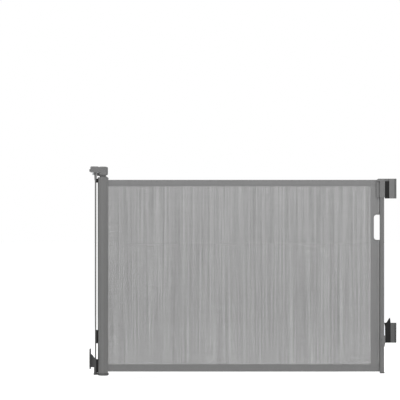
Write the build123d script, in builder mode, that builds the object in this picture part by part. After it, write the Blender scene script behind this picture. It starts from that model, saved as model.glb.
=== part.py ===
from build123d import *
import os
from math import cos, radians, sin

# A retractable mesh safety gate, drawn out and closed across a doorway. X runs from the wall that
# carries the housing to the wall that carries the catches, -Y is the side that faces the room and
# Z is up. The origin is at the middle of the opening, in the housing's centre plane, at the height
# of the gate's lowest point. The pull bar stands at the top of its lift, just clear of the catches.

# Driving dimensions, in millimetres
opening = 1343.0
mesh_height = 840.0
mesh_bottom = 17.3
mesh_thickness = 0.6
hem_thickness = 1.6
top_hem_height = 28.0
bottom_hem_height = 32.0
band_width = 40.2
hand_hole_bottom = 594.0
hand_hole_top = 705.0
hand_hole_width = 26.0
hand_hole_corner = 13.0
lift = 8.0
running_gap = 0.05
soft_gap = 0.3

wall_left = -opening / 2
wall_right = opening / 2
mesh_top = mesh_bottom + mesh_height

# Housing tube and roller, about the roller's axis
tube_x = wall_left + 58.0
tube_radius = 22.5
tube_wall = 2.0
tube_bottom = 11.4
tube_top = 866.0
cap_radius = 23.9
cap_shift = 2.0
nose_reach = 22.6
nose_length = 8.6
nose_width = 8.6
slot_width = 4.0
liner_thickness = 0.8
liner_reach = 5.0
roller_radius = 9.0
roller_wall = 1.2
roller_bottom = 16.0
roller_top = 858.0
wrap_thickness = 0.65
mesh_y = -(roller_radius + wrap_thickness + soft_gap + mesh_thickness / 2)
spring_shaft_radius = 3.0
spring_shaft_bottom = 4.0
spring_shaft_top = 250.0
spring_anchor_z = 32.0
spring_drive_z = 224.0
stub_radius = 4.0
stub_hole_radius = 6.0
plug_length = 12.0

# Lock head on the housing wall
head_radius = 22.5
head_wall = 2.5
head_standoff = 4.5
standoff_height = 11.0
standoff_width = 40.0
head_bottom = 877.0
head_floor = 887.0
head_shelf = 890.0
head_split = 905.0
head_top = 914.5
lid_depth = 2.5
lid_round = 6.5
neck_radius = 14.3
arch_x = wall_left + 40.3
arch_radius = 7.0
arch_web_bottom = 874.5
ratchet_teeth = 10
ratchet_root = 7.8
ratchet_tip = 10.0
ratchet_z = 888.0
ratchet_height = 4.0
pawl_pivot = (tube_x - 15.0, 5.0)
pawl_reach = 7.96
pawl_rest_angle = -62.9
cam_z = 897.0
cam_height = 4.0
knob_radius = 13.5
knob_z = 911.0
knob_top = 915.3
head_screw_x = wall_left + 38.0
head_screw_y = 16.0
hatch_x = wall_left + 21.5
hatch_length = 26.0
hatch_width = 29.0
button_x = tube_x + 6.0
button_z = 898.8

# Holes for the wall screws
head_hole_z = 898.5
head_hole_spacing = 28.0
head_hole_radius = 2.4
lower_hole_spacing = 72.0
catch_hole_spacing = 66.0
wall_hole_radius = 2.6

# Back rail, its spacers and its wall bracket
rail_x = wall_left + 26.1
rail_depth = 6.0
rail_width = 18.0
rail_wall = 1.6
rail_bottom = 12.7
rail_top = head_shelf - 2.0
spacer_heights = {
    "top_spacer": (845.0, 863.0),
    "middle_spacer": (141.5, 199.0),
    "bottom_spacer": (13.0, 70.5),
}
spacer_width = 22.0
spacer_hole_radius = 1.5
spacer_screw_heights = (26.0, 58.0, 154.0, 187.0, 850.0)
sleeve_bottom = 855.0
clamp_screw_x = wall_left + 15.9
clamp_screw_bottom = 878.5
lower_plate_z = 72.7
lower_plate_height = 92.0
lower_plate_width = 49.5
clip_half_width = 11.0
boot_bottom = 3.0
boot_top = 63.0
boot_left = rail_x - rail_depth / 2 - 3.4
foot_reach = tube_x + cap_shift - cap_radius - 0.3
foot_height = 6.5

# Pull bar and its hooks
bar_left = wall_right - 71.7
bar_width = 18.7
bar_depth = 24.0
bar_x = bar_left + bar_width / 2
bar_right = bar_left + bar_width
bar_bottom = 14.0
bar_top = 857.0
cap_left = wall_right - 87.0
cap_right = wall_right - 49.7
cap_bottom = 780.0
cap_top = 862.3
cap_depth = 28.0
flange_setback = 7.0
hook_screw_places = ((bar_x - 2.2, 159.0), (bar_x - 1.0, 134.5))
keder_x = bar_left + 4.2
keder_radius = 2.6
arm_half_width = 6.5
lower_hook_bottom = 125.0
lower_hook_top = 188.5

# Catches on the far wall
pocket_half_width = 11.0
pocket_wall = 3.0
upper_pocket_left = wall_right - 48.7
upper_pocket_right = wall_right - 31.4
upper_arm_under = 852.0
upper_catch_bottom = 775.5
upper_catch_top = 862.4
lower_pocket_left = wall_right - 47.5
lower_pocket_right = wall_right - 25.6
lower_pocket_floor = 146.5
upper_pocket_floor = 812.0
upper_pocket_top = 851.5
lower_arm_under = 163.0
lower_arm_top = 173.0
upper_lip = 4.2
lower_lip = 5.2
hook_play = 0.8
upper_prong_x = upper_pocket_left + upper_lip + hook_play
lower_prong_x = lower_pocket_left + lower_lip + hook_play
lower_catch_bottom = 144.5
lower_catch_top = 231.0
ear_top = 253.5
ear_overhang = 3.8
catch_half_width = 14.0
rib_middle = 810.0
rib_spacing = 12.0
plate_thickness = 4.0
plate_rim = 6.0
tongue_width = 14.0
tongue_height = 24.0
tongue_hole_radius = 1.6
screw_spacing = 14.0
panel_depth = 0.6

pieces = []


def finish(part, label):
    """Names a finished piece and keeps it for writing."""
    part.label = label
    pieces.append(part)


def polar(centre, radius, angle):
    """The point at this radius and angle, in degrees, about a centre."""
    return (centre[0] + radius * cos(radians(angle)), centre[1] + radius * sin(radians(angle)))


def screw_head(radius):
    """A screw's round head with a cross recess right through it, in the sketch being drawn."""
    Circle(radius)
    Rectangle(0.8, 1.2 * radius, mode=Mode.SUBTRACT)
    Rectangle(1.2 * radius, 0.8, mode=Mode.SUBTRACT)


def coil(centre, radius, wire, pitch, height, direction=(0, 0, 1)):
    """An open helical spring whose first turn starts at the centre point."""
    path = Helix(pitch, height, radius, center=centre, direction=direction)
    section = Plane(origin=path @ 0, z_dir=path % 0) * Circle(wire)
    return Part(sweep(section, path=path, is_frenet=True).wrapped)


# ---------------------------------------------------------------- housing

with BuildPart() as housing_tube:
    with BuildSketch(Plane.XY.offset(tube_bottom)):
        with Locations((tube_x, 0)):
            Circle(tube_radius)
        with Locations((tube_x + nose_reach - nose_length / 2, mesh_y)):
            RectangleRounded(nose_length, nose_width, 1.0)
        with Locations((tube_x, 0)):
            Circle(tube_radius - tube_wall, mode=Mode.SUBTRACT)
        with Locations(*[polar((tube_x, 0), tube_radius, a) for a in (-112, -66, 66, 112)]):
            Circle(0.9, mode=Mode.SUBTRACT)
        with Locations((tube_x + nose_reach - nose_length / 2, mesh_y)):
            Rectangle(2 * nose_length, slot_width, mode=Mode.SUBTRACT)
    extrude(amount=tube_top - tube_bottom)
finish(housing_tube.part, "housing_tube")

with BuildPart() as slot_liners:
    with BuildSketch(Plane.XY.offset(roller_bottom)):
        with Locations((tube_x + nose_reach - liner_reach / 2, mesh_y)):
            with GridLocations(0, slot_width - liner_thickness, 1, 2):
                Rectangle(liner_reach, liner_thickness)
    extrude(amount=roller_top - roller_bottom)
finish(slot_liners.part, "slot_liners")

with BuildPart() as top_end_cap:
    with BuildSketch(Plane.XY.offset(roller_top + 0.8)):
        with Locations((tube_x, 0)):
            Circle(tube_radius - tube_wall)
            Circle(tube_radius - tube_wall - 1.6, mode=Mode.SUBTRACT)
    extrude(amount=tube_top - roller_top - 0.8)
    with BuildSketch(Plane.XY.offset(tube_top)):
        with Locations((tube_x, 0)):
            Circle(tube_radius)
        with Locations((tube_x + nose_reach - nose_length / 2, mesh_y)):
            RectangleRounded(nose_length, nose_width, 1.0)
    extrude(amount=2.5)
    with BuildSketch(Plane.XY.offset(tube_top + 2.5)):
        with Locations((tube_x, 0)):
            Circle(neck_radius)
    extrude(amount=head_floor - tube_top - 2.5)
    # the sloping shoulder above the place where the mesh leaves the slot
    with BuildSketch(Plane.XZ.offset(-mesh_y)):
        Polygon(
            (tube_x + 9.0, tube_top),
            (tube_x + nose_reach + 0.1, tube_top),
            (tube_x + nose_reach + 0.1, mesh_top + 1.0),
            (tube_x + nose_reach + 2.6, mesh_top + 1.0),
            (tube_x + nose_reach + 2.6, tube_top - 0.5),
            (tube_x + 15.5, tube_top + 7.0),
            (tube_x + 9.0, tube_top + 7.0),
            align=None,
        )
    extrude(amount=nose_width / 2 - 0.5, both=True)
    with BuildSketch(Plane.XY.offset(tube_top)):
        with Locations((tube_x, 0)):
            Circle(stub_hole_radius)
    extrude(amount=head_floor - tube_top, mode=Mode.SUBTRACT)
finish(top_end_cap.part, "top_end_cap")

with BuildPart() as top_bushing:
    with BuildSketch(Plane.XY.offset(tube_top - 1.5)):
        with Locations((tube_x, 0)):
            Circle(8.5)
    extrude(amount=1.5)
    with BuildSketch(Plane.XY.offset(tube_top)):
        with Locations((tube_x, 0)):
            Circle(stub_hole_radius)
    extrude(amount=18.0)
    with Locations((tube_x, 0, tube_top)):
        Cylinder(stub_radius + running_gap, 60.0, mode=Mode.SUBTRACT)
finish(top_bushing.part, "top_bushing")

with BuildPart() as bottom_end_cap:
    with BuildSketch():
        with Locations((tube_x + cap_shift, 0)):
            Circle(cap_radius)
    extrude(amount=tube_bottom)
    fillet(bottom_end_cap.edges().sort_by(Axis.Z)[0], 2.5)
    chamfer(bottom_end_cap.edges().sort_by(Axis.Z)[-1], 1.0)
    with BuildSketch(Plane.XY.offset(tube_bottom)):
        with Locations((tube_x, 0)):
            Circle(tube_radius - tube_wall)
            Circle(tube_radius - tube_wall - 1.6, mode=Mode.SUBTRACT)
            Circle(6.5)
    extrude(amount=3.6)
    with BuildSketch(Plane.XY.offset(spring_shaft_bottom)):
        with Locations((tube_x, 0)):
            Circle(spring_shaft_radius)
    extrude(amount=tube_bottom, mode=Mode.SUBTRACT)
finish(bottom_end_cap.part, "bottom_end_cap")

# ---------------------------------------------------------------- roller and its spring

with BuildPart() as roller_tube:
    with BuildSketch(Plane.XY.offset(roller_bottom)):
        with Locations((tube_x, 0)):
            Circle(roller_radius)
            Circle(roller_radius - roller_wall, mode=Mode.SUBTRACT)
    extrude(amount=roller_top - roller_bottom)
finish(roller_tube.part, "roller_tube")

with BuildPart() as mesh_roll:
    with BuildSketch(Plane.XY.offset(mesh_bottom)):
        with Locations((tube_x, 0)):
            Circle(roller_radius + wrap_thickness)
            Circle(roller_radius, mode=Mode.SUBTRACT)
    extrude(amount=mesh_height)
finish(mesh_roll.part, "mesh_roll")

with BuildPart() as roller_bottom_plug:
    with BuildSketch(Plane.XY.offset(roller_bottom)):
        with Locations((tube_x, 0)):
            Circle(roller_radius - roller_wall)
            Circle(spring_shaft_radius + running_gap, mode=Mode.SUBTRACT)
    extrude(amount=plug_length)
finish(roller_bottom_plug.part, "roller_bottom_plug")

with BuildPart() as spring_shaft:
    with BuildSketch(Plane.XY.offset(spring_shaft_bottom)):
        with Locations((tube_x, 0)):
            Circle(spring_shaft_radius)
    extrude(amount=spring_shaft_top - spring_shaft_bottom)
finish(spring_shaft.part, "spring_shaft")

with BuildPart() as spring_anchor:
    with BuildSketch(Plane.XY.offset(spring_anchor_z)):
        with Locations((tube_x, 0)):
            Circle(6.6)
            Circle(spring_shaft_radius, mode=Mode.SUBTRACT)
    extrude(amount=8.0)
finish(spring_anchor.part, "spring_anchor")

torsion_spring = coil((tube_x, 0, spring_anchor_z + 10.0), 5.2, 0.8, 6.0, 180.0)
finish(torsion_spring, "torsion_spring")

with BuildPart() as spring_drive_plug:
    with BuildSketch(Plane.XY.offset(spring_drive_z)):
        with Locations((tube_x, 0)):
            Circle(roller_radius - roller_wall)
            Circle(spring_shaft_radius + running_gap, mode=Mode.SUBTRACT)
    extrude(amount=16.0)
finish(spring_drive_plug.part, "spring_drive_plug")

with BuildPart() as roller_top_plug:
    with BuildSketch(Plane.XY.offset(roller_top - plug_length)):
        with Locations((tube_x, 0)):
            Circle(roller_radius - roller_wall)
    extrude(amount=plug_length)
    with BuildSketch(Plane.XY.offset(roller_top)):
        with Locations((tube_x, 0)):
            Circle(stub_radius)
    extrude(amount=ratchet_z + ratchet_height + 1.0 - roller_top)
finish(roller_top_plug.part, "roller_top_plug")

with BuildPart() as ratchet_wheel:
    with BuildSketch(Plane.XY.offset(ratchet_z)):
        with Locations((tube_x, 0)):
            Circle(ratchet_root)
            # the gap between two teeth lies straight towards the wall at rest
            with PolarLocations(0, ratchet_teeth, start_angle=180.0 / ratchet_teeth):
                Polygon(
                    (ratchet_root - 1.0, -1.2),
                    (ratchet_tip, -0.6),
                    (ratchet_tip, 0.6),
                    (ratchet_root - 1.0, 1.2),
                    align=None,
                )
            Circle(stub_radius, mode=Mode.SUBTRACT)
    extrude(amount=ratchet_height)
finish(ratchet_wheel.part, "ratchet_wheel")

# ---------------------------------------------------------------- lock head


def head_outline(inset, wall_inset):
    """The D of the lock head, as seen from above: flat at the wall and round about the roller."""
    length = tube_x - wall_left - wall_inset
    with Locations((tube_x, 0)):
        Circle(head_radius - inset)
    with Locations((tube_x - length / 2, 0)):
        Rectangle(length, 2 * (head_radius - inset))


with BuildPart() as lock_head_body:
    with BuildSketch(Plane.XY.offset(head_shelf)):
        head_outline(0.0, head_standoff)
    extrude(amount=head_split - head_shelf)
    # the pad that stands the head off the wall
    with BuildSketch(Plane.YZ.offset(wall_left)):
        with Locations((0, head_hole_z)):
            RectangleRounded(standoff_width, standoff_height, 2.0)
    extrude(amount=head_standoff)
    with BuildSketch(Plane.XY.offset(head_bottom)):
        with Locations((tube_x, 0)):
            Circle(head_radius)
    extrude(amount=head_shelf - head_bottom)
    fillet(lock_head_body.edges().filter_by(GeomType.CIRCLE).sort_by(Axis.Z)[0], 7.0)
    # the sleeve that takes the top of the back rail
    with BuildSketch(Plane.XZ):
        Polygon(
            (wall_left + 22.0, sleeve_bottom),
            (rail_x + rail_depth / 2, sleeve_bottom),
            (rail_x + rail_depth / 2, sleeve_bottom + 8.5),
            (rail_x + rail_depth / 2 + 1.8, sleeve_bottom + 10.0),
            (rail_x + rail_depth / 2 + 1.8, head_shelf),
            (wall_left + 21.0, head_shelf),
            (wall_left + 21.0, sleeve_bottom + 13.0),
            align=None,
        )
    extrude(amount=rail_width / 2 + 2.0, both=True)
    with BuildSketch(Plane.XY.offset(sleeve_bottom - 5.0)):
        with Locations((rail_x, 0)):
            Rectangle(rail_depth, rail_width)
    extrude(amount=rail_top - sleeve_bottom + 5.0, mode=Mode.SUBTRACT)
    # the arch between the sleeve and the housing's neck
    with BuildSketch(Plane.XZ):
        with Locations((arch_x, head_bottom - 1.0)):
            Circle(arch_radius)
    extrude(amount=2 * head_radius, both=True, mode=Mode.SUBTRACT)
    with BuildSketch(Plane.XZ):
        with Locations((arch_x, (arch_web_bottom + head_shelf) / 2)):
            Rectangle(2 * arch_radius + 2.0, head_shelf - arch_web_bottom)
    extrude(amount=1.5, both=True)
    with BuildSketch(Plane.XY.offset(arch_web_bottom)):
        with Locations((tube_x, 0)):
            Circle(neck_radius)
    extrude(amount=head_floor - arch_web_bottom, mode=Mode.SUBTRACT)
    # the hollow that holds the ratchet, with a block left standing for the button
    with BuildSketch(Plane.XY.offset(head_floor)):
        with Locations((tube_x, 0)):
            Circle(head_radius - head_wall)
        with Locations((button_x, -head_radius + 5.0)):
            Rectangle(11.4, 10.0, mode=Mode.SUBTRACT)
    extrude(amount=head_split - head_floor, mode=Mode.SUBTRACT)
    with BuildSketch(Plane.XY.offset(head_shelf + head_wall)):
        head_outline(head_wall, head_standoff + plate_thickness)
        with Locations((tube_x + head_radius / 2, 0)):
            Rectangle(head_radius, 2 * head_radius, mode=Mode.SUBTRACT)
    extrude(amount=head_split - head_shelf - head_wall, mode=Mode.SUBTRACT)
    with BuildSketch(Plane.YZ.offset(wall_left)):
        with Locations((0, head_hole_z)):
            with GridLocations(head_hole_spacing, 0, 2, 1):
                Circle(head_hole_radius)
    extrude(amount=head_standoff + plate_thickness, mode=Mode.SUBTRACT)
    with BuildSketch(Plane.XZ.offset(14.5)):
        with Locations((button_x, button_z)):
            Circle(4.6)
    extrude(amount=head_radius, mode=Mode.SUBTRACT)
    with BuildSketch(Plane.XZ.offset(12.0)):
        with Locations((button_x, button_z)):
            Circle(2.25)
    extrude(amount=3.0, mode=Mode.SUBTRACT)
    with BuildSketch(Plane.XY.offset(head_shelf)):
        with Locations((clamp_screw_x, 0)):
            Circle(2.0)
        with Locations((head_screw_x, -head_screw_y), (head_screw_x, head_screw_y)):
            Circle(1.5)
    extrude(amount=head_wall, mode=Mode.SUBTRACT)
finish(lock_head_body.part, "lock_head_body")

with BuildPart() as lock_head_cover:
    with BuildSketch(Plane.XY.offset(head_split)):
        head_outline(0.0, head_standoff)
    extrude(amount=head_top - head_split)
    # the top is rounded all round except at the wall
    fillet(lock_head_cover.edges().group_by(Axis.Z)[-1].sort_by(Axis.X)[1:], lid_round)
    with BuildSketch(Plane.XY.offset(head_split)):
        head_outline(head_wall, head_standoff + plate_thickness)
    extrude(amount=lid_depth, mode=Mode.SUBTRACT)
    with BuildSketch(Plane.XY.offset(knob_z - 0.5)):
        with Locations((tube_x, 0)):
            Circle(knob_radius + 0.4)
    extrude(amount=head_radius, mode=Mode.SUBTRACT)
    with BuildSketch(Plane.XY.offset(head_split)):
        with Locations((hatch_x, 0)):
            RectangleRounded(hatch_length, hatch_width, 2.0)
    extrude(amount=head_radius, mode=Mode.SUBTRACT)
    with BuildSketch(Plane.XY.offset(head_split - 2.0)):
        with Locations((tube_x, 0)):
            Circle(6.5)
        with Locations((head_screw_x, -head_screw_y), (head_screw_x, head_screw_y)):
            Circle(3.2)
    extrude(amount=lid_depth + 2.0)
    with BuildSketch(Plane.XY.offset(head_split - 2.0)):
        with Locations((head_screw_x, -head_screw_y), (head_screw_x, head_screw_y)):
            Circle(1.5)
    extrude(amount=5.0, mode=Mode.SUBTRACT)
    with Locations((tube_x, 0, head_split)):
        Cylinder(stub_radius + running_gap, 30.0, mode=Mode.SUBTRACT)
finish(lock_head_cover.part, "lock_head_cover")

with BuildPart() as wall_screw_cover:
    with BuildSketch(Plane.XY.offset(head_top)):
        with Locations((hatch_x, 0)):
            RectangleRounded(hatch_length + 3.0, hatch_width + 2.6, 3.0)
    extrude(amount=1.6)
    fillet(wall_screw_cover.edges().group_by(Axis.Z)[-1], 0.8)
    with BuildSketch(Plane.XY.offset(head_top - 5.0)):
        with Locations((hatch_x, 0)):
            RectangleRounded(hatch_length - 0.4, hatch_width - 0.4, 1.8)
            RectangleRounded(hatch_length - 4.0, hatch_width - 4.0, 1.0, mode=Mode.SUBTRACT)
    extrude(amount=5.0)
finish(wall_screw_cover.part, "wall_screw_cover")

with BuildPart() as lock_head_screws:
    for side in (-1, 1):
        with BuildSketch(Plane.XY.offset(head_shelf - 1.6)):
            with Locations((head_screw_x, head_screw_y * side)):
                screw_head(2.9)
        extrude(amount=1.6)
        with BuildSketch(Plane.XY.offset(head_shelf - 1.0)):
            with Locations((head_screw_x, head_screw_y * side)):
                Circle(1.5)
        extrude(amount=18.0)
finish(lock_head_screws.part, "lock_head_screws")

with BuildPart() as rail_clamp_screw:
    with BuildSketch(Plane.XY.offset(clamp_screw_bottom)):
        with Locations((clamp_screw_x, 0)):
            Circle(4.9)
            with PolarLocations(5.1, 16):
                Circle(0.45, mode=Mode.SUBTRACT)
    extrude(amount=head_shelf - clamp_screw_bottom)
    fillet(rail_clamp_screw.edges().filter_by(GeomType.CIRCLE).group_by(Axis.Z)[0], 0.3)
    with BuildSketch(Plane.XY.offset(head_shelf)):
        with Locations((clamp_screw_x, 0)):
            Circle(2.0)
    extrude(amount=9.0)
finish(rail_clamp_screw.part, "rail_clamp_screw")

with BuildPart() as lock_knob:
    with BuildSketch(Plane.XY.offset(knob_z)):
        with Locations((tube_x, 0)):
            Circle(knob_radius)
    extrude(amount=knob_top - knob_z)
    fillet(lock_knob.edges().sort_by(Axis.Z)[-1], 1.2)
    with BuildSketch(Plane.XY.offset(knob_top - 2.4)):
        with Locations((tube_x, 0)):
            Circle(knob_radius - 2.0)
            with Locations(Location((0, 0), 30.0)):
                SlotOverall(2 * knob_radius, 7.0, mode=Mode.SUBTRACT)
    extrude(amount=3.0, mode=Mode.SUBTRACT)
    with BuildSketch(Plane.XY.offset(cam_z)):
        with Locations((tube_x, 0)):
            Circle(stub_radius)
    extrude(amount=knob_z - cam_z)
    with BuildSketch(Plane.XY.offset(cam_z)):
        with Locations((tube_x, 0)):
            Circle(1.4)
    extrude(amount=9.0, mode=Mode.SUBTRACT)
finish(lock_knob.part, "lock_knob")

with BuildPart() as lock_cam:
    with BuildSketch(Plane.XY.offset(cam_z)):
        with Locations((tube_x, 0)):
            Circle(7.0)
        # the lobe stops just short of the pawl's post when the knob is fully turned
        Polygon(
            (tube_x, 0),
            polar((tube_x, 0), 14.2, 262.0),
            polar((tube_x, 0), 14.4, 250.0),
            polar((tube_x, 0), 14.2, 239.5),
            align=None,
        )
        with Locations((tube_x, 0)):
            Circle(stub_radius, mode=Mode.SUBTRACT)
    extrude(amount=cam_height)
finish(lock_cam.part, "lock_cam")

with BuildPart() as cam_screw:
    with BuildSketch(Plane.XY.offset(cam_z - 1.8)):
        with Locations((tube_x, 0)):
            screw_head(5.0)
    extrude(amount=1.8)
    with BuildSketch(Plane.XY.offset(cam_z - 1.0)):
        with Locations((tube_x, 0)):
            Circle(1.4)
    extrude(amount=9.0)
finish(cam_screw.part, "cam_screw")

with BuildPart() as lock_pawl:
    tip = polar(pawl_pivot, pawl_reach, pawl_rest_angle)
    side = pawl_rest_angle + 90.0
    with BuildSketch(Plane.XY.offset(ratchet_z)):
        with Locations(pawl_pivot):
            Circle(3.2)
        Polygon(
            polar(pawl_pivot, 2.0, side),
            polar(pawl_pivot, 2.0, side + 180.0),
            polar(tip, 0.8, side + 180.0),
            polar(tip, 0.8, side),
            align=None,
        )
        with Locations(tip):
            Circle(0.8)
        with Locations(pawl_pivot):
            Circle(1.5 + running_gap, mode=Mode.SUBTRACT)
    extrude(amount=ratchet_height - 0.4)
    with BuildSketch(Plane.XY.offset(ratchet_z)):
        with Locations(polar(pawl_pivot, 5.0, pawl_rest_angle)):
            Circle(1.2)
    extrude(amount=cam_z + cam_height - 0.5 - ratchet_z)
finish(lock_pawl.part, "lock_pawl")

with BuildPart() as pawl_pin:
    with BuildSketch(Plane.XY.offset(head_floor)):
        with Locations(pawl_pivot):
            Circle(1.5)
    extrude(amount=13.0)
    with BuildSketch(Plane.XY.offset(head_floor + 13.0)):
        with Locations(pawl_pivot):
            Circle(2.6)
    extrude(amount=1.2)
finish(pawl_pin.part, "pawl_pin")

pawl_spring = coil((*pawl_pivot, ratchet_z + ratchet_height + 0.8), 2.3, 0.35, 1.1, 4.4)
finish(pawl_spring, "pawl_spring")

with BuildPart() as release_button:
    with BuildSketch(Plane.XZ.offset(19.0)):
        with Locations((button_x, button_z)):
            Circle(4.5)
    extrude(amount=3.8)
    fillet(release_button.edges().filter_by(GeomType.CIRCLE).sort_by(Axis.Y)[0], 1.0)
    with BuildSketch(Plane.XZ.offset(11.2)):
        with Locations((button_x, button_z)):
            Circle(2.2)
    extrude(amount=7.8)
finish(release_button.part, "release_button")

with BuildPart() as button_clip:
    with BuildSketch(Plane.XZ.offset(11.4)):
        with Locations((button_x, button_z)):
            Circle(3.4)
            Circle(2.2, mode=Mode.SUBTRACT)
    extrude(amount=0.7)
finish(button_clip.part, "button_clip")

button_spring = coil((button_x, -15.1, button_z), 3.3, 0.4, 1.3, 3.3, direction=(0, -1, 0))
finish(button_spring, "button_spring")

# ---------------------------------------------------------------- back rail and housing wall brackets

with BuildPart() as back_rail:
    with BuildSketch(Plane.XY.offset(rail_bottom)):
        with Locations((rail_x, 0)):
            Rectangle(rail_depth, rail_width)
        with Locations((rail_x - rail_wall, 0)):
            Rectangle(rail_depth, rail_width - 2 * rail_wall, mode=Mode.SUBTRACT)
    extrude(amount=rail_top - rail_bottom)
    with BuildSketch(Plane.YZ.offset(rail_x)):
        with Locations(*[(0, height) for height in spacer_screw_heights]):
            Circle(spacer_hole_radius)
    extrude(amount=rail_depth, mode=Mode.SUBTRACT)
finish(back_rail.part, "back_rail")

for spacer_name, (low, high) in spacer_heights.items():
    with BuildPart() as spacer:
        with BuildSketch(Plane.XY.offset(low)):
            with Locations((rail_x + rail_depth / 2 + 6.0, 0)):
                Rectangle(12.0, spacer_width)
            with Locations((tube_x, 0)):
                Circle(tube_radius, mode=Mode.SUBTRACT)
        extrude(amount=high - low)
        with BuildSketch(Plane.YZ.offset(rail_x)):
            with Locations(*[(0, height) for height in spacer_screw_heights]):
                Circle(spacer_hole_radius)
        extrude(amount=rail_depth / 2 + 4.5, mode=Mode.SUBTRACT)
    finish(spacer.part, spacer_name)

with BuildPart() as rail_foot:
    with BuildSketch(Plane.XZ):
        Polygon(
            (boot_left - 2.0, boot_bottom),
            (foot_reach, boot_bottom),
            (foot_reach, boot_bottom + foot_height),
            (rail_x + rail_depth / 2, boot_bottom + foot_height + 2.0),
            (rail_x + rail_depth / 2, boot_top),
            (boot_left, boot_top),
            (boot_left, rail_bottom + 2.0),
            (boot_left - 2.0, rail_bottom - 2.0),
            align=None,
        )
    extrude(amount=clip_half_width, both=True)
    with BuildSketch(Plane.XY.offset(rail_bottom)):
        with Locations((rail_x, 0)):
            Rectangle(rail_depth, rail_width)
    extrude(amount=boot_top, mode=Mode.SUBTRACT)
    with BuildSketch(Plane.XY.offset(rail_bottom)):
        with Locations((rail_x - rail_wall / 2, 0)):
            Rectangle(rail_depth - rail_wall, rail_width - 2 * rail_wall)
    extrude(amount=10.0)
finish(rail_foot.part, "rail_foot")

with BuildPart() as lower_wall_bracket:
    with BuildSketch(Plane.YZ.offset(wall_left)):
        with Locations((0, lower_plate_z)):
            SlotOverall(lower_plate_height, lower_plate_width, rotation=90.0)
    extrude(amount=5.5)
    fillet(lower_wall_bracket.faces().sort_by(Axis.X)[-1].edges(), 4.0)
    # the arm, which clips round the rail just above its boot
    with BuildSketch(Plane.XZ):
        Polygon(
            (wall_left + 1.0, 96.0),
            (wall_left + 6.5, 93.5),
            (wall_left + 11.0, 90.0),
            (wall_left + 15.3, 85.5),
            (wall_left + 19.0, 78.0),
            (rail_x - 1.0, 76.0),
            (rail_x + rail_depth / 2, 76.0),
            (rail_x + rail_depth / 2, boot_top),
            (boot_left, boot_top),
            (boot_left, 36.0),
            (wall_left + 10.0, 36.5),
            (wall_left + 1.0, 38.0),
            align=None,
        )
    extrude(amount=clip_half_width, both=True)
    with BuildSketch(Plane.XY.offset(boot_top)):
        with Locations((rail_x, 0)):
            Rectangle(rail_depth, rail_width)
    extrude(amount=boot_top, mode=Mode.SUBTRACT)
    with BuildSketch(Plane.YZ.offset(wall_left)):
        with Locations((0, lower_plate_z)):
            with GridLocations(0, lower_hole_spacing, 1, 2):
                Circle(wall_hole_radius)
    extrude(amount=12.0, mode=Mode.SUBTRACT)
finish(lower_wall_bracket.part, "lower_wall_bracket")

with BuildPart() as spacer_screws:
    rail_web = rail_x + rail_depth / 2 - rail_wall
    with BuildSketch(Plane.YZ.offset(rail_web - 1.6)):
        with Locations(*[(0, height) for height in spacer_screw_heights]):
            screw_head(2.8)
    extrude(amount=1.6)
    with BuildSketch(Plane.YZ.offset(rail_web - 0.6)):
        with Locations(*[(0, height) for height in spacer_screw_heights]):
            Circle(spacer_hole_radius)
    extrude(amount=5.4)
finish(spacer_screws.part, "spacer_screws")

# ---------------------------------------------------------------- mesh

mesh_left = tube_x + 2.0
band_left = bar_left - soft_gap - band_width
with BuildPart() as mesh_panel:
    with BuildSketch(Plane.XZ.offset(-mesh_y)):
        with Locations(((mesh_left + band_left) / 2, mesh_bottom + mesh_height / 2)):
            Rectangle(band_left - mesh_left, mesh_height)
        with Locations((0, mesh_top - top_hem_height / 2)):
            Rectangle(opening, top_hem_height, mode=Mode.SUBTRACT)
        with Locations((0, mesh_bottom + bottom_hem_height / 2)):
            Rectangle(opening, bottom_hem_height, mode=Mode.SUBTRACT)
    extrude(amount=mesh_thickness / 2, both=True)
finish(mesh_panel.part, "mesh_panel")

hem_left = tube_x + roller_radius + wrap_thickness + 2.0
hem_heights = {
    "top_hem": (mesh_top - top_hem_height, mesh_top),
    "bottom_hem": (mesh_bottom, mesh_bottom + bottom_hem_height),
}
for hem_name, (low, high) in hem_heights.items():
    with BuildPart() as hem:
        with BuildSketch(Plane.XZ.offset(-mesh_y)):
            with Locations(((hem_left + band_left) / 2, (low + high) / 2)):
                Rectangle(band_left - hem_left, high - low)
        extrude(amount=hem_thickness / 2, both=True)
    finish(hem.part, hem_name)

with BuildPart() as end_band:
    with BuildSketch(Plane.XZ.offset(-mesh_y)):
        with Locations((band_left + band_width / 2, mesh_bottom + mesh_height / 2)):
            Rectangle(band_width, mesh_height)
        # the hand hole is open towards the bar, which is the handle
        with Locations((bar_left, (hand_hole_bottom + hand_hole_top) / 2)):
            RectangleRounded(
                2 * hand_hole_width, hand_hole_top - hand_hole_bottom, hand_hole_corner, mode=Mode.SUBTRACT
            )
    extrude(amount=hem_thickness / 2, both=True)
finish(end_band.part, "end_band")

# ---------------------------------------------------------------- pull bar


def bar_outline(grow):
    """The pull bar's outer section, grown on every side."""
    with Locations((bar_x, mesh_y)):
        RectangleRounded(bar_width + 2 * grow, bar_depth + 2 * grow, 5.0 + grow)


with BuildPart() as pull_bar:
    with BuildSketch(Plane.XY.offset(bar_bottom)):
        bar_outline(0.0)
        with Locations((bar_x, mesh_y)):
            RectangleRounded(bar_width - 3.4, bar_depth - 3.4, 3.3, mode=Mode.SUBTRACT)
        with Locations((keder_x, mesh_y)):
            Circle(keder_radius + 1.6)
            Circle(keder_radius + 0.1, mode=Mode.SUBTRACT)
        with Locations((bar_left, mesh_y)):
            Rectangle(2 * 4.2, 2.2, mode=Mode.SUBTRACT)
    extrude(amount=bar_top - bar_bottom)
finish(pull_bar.part, "pull_bar")

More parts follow.
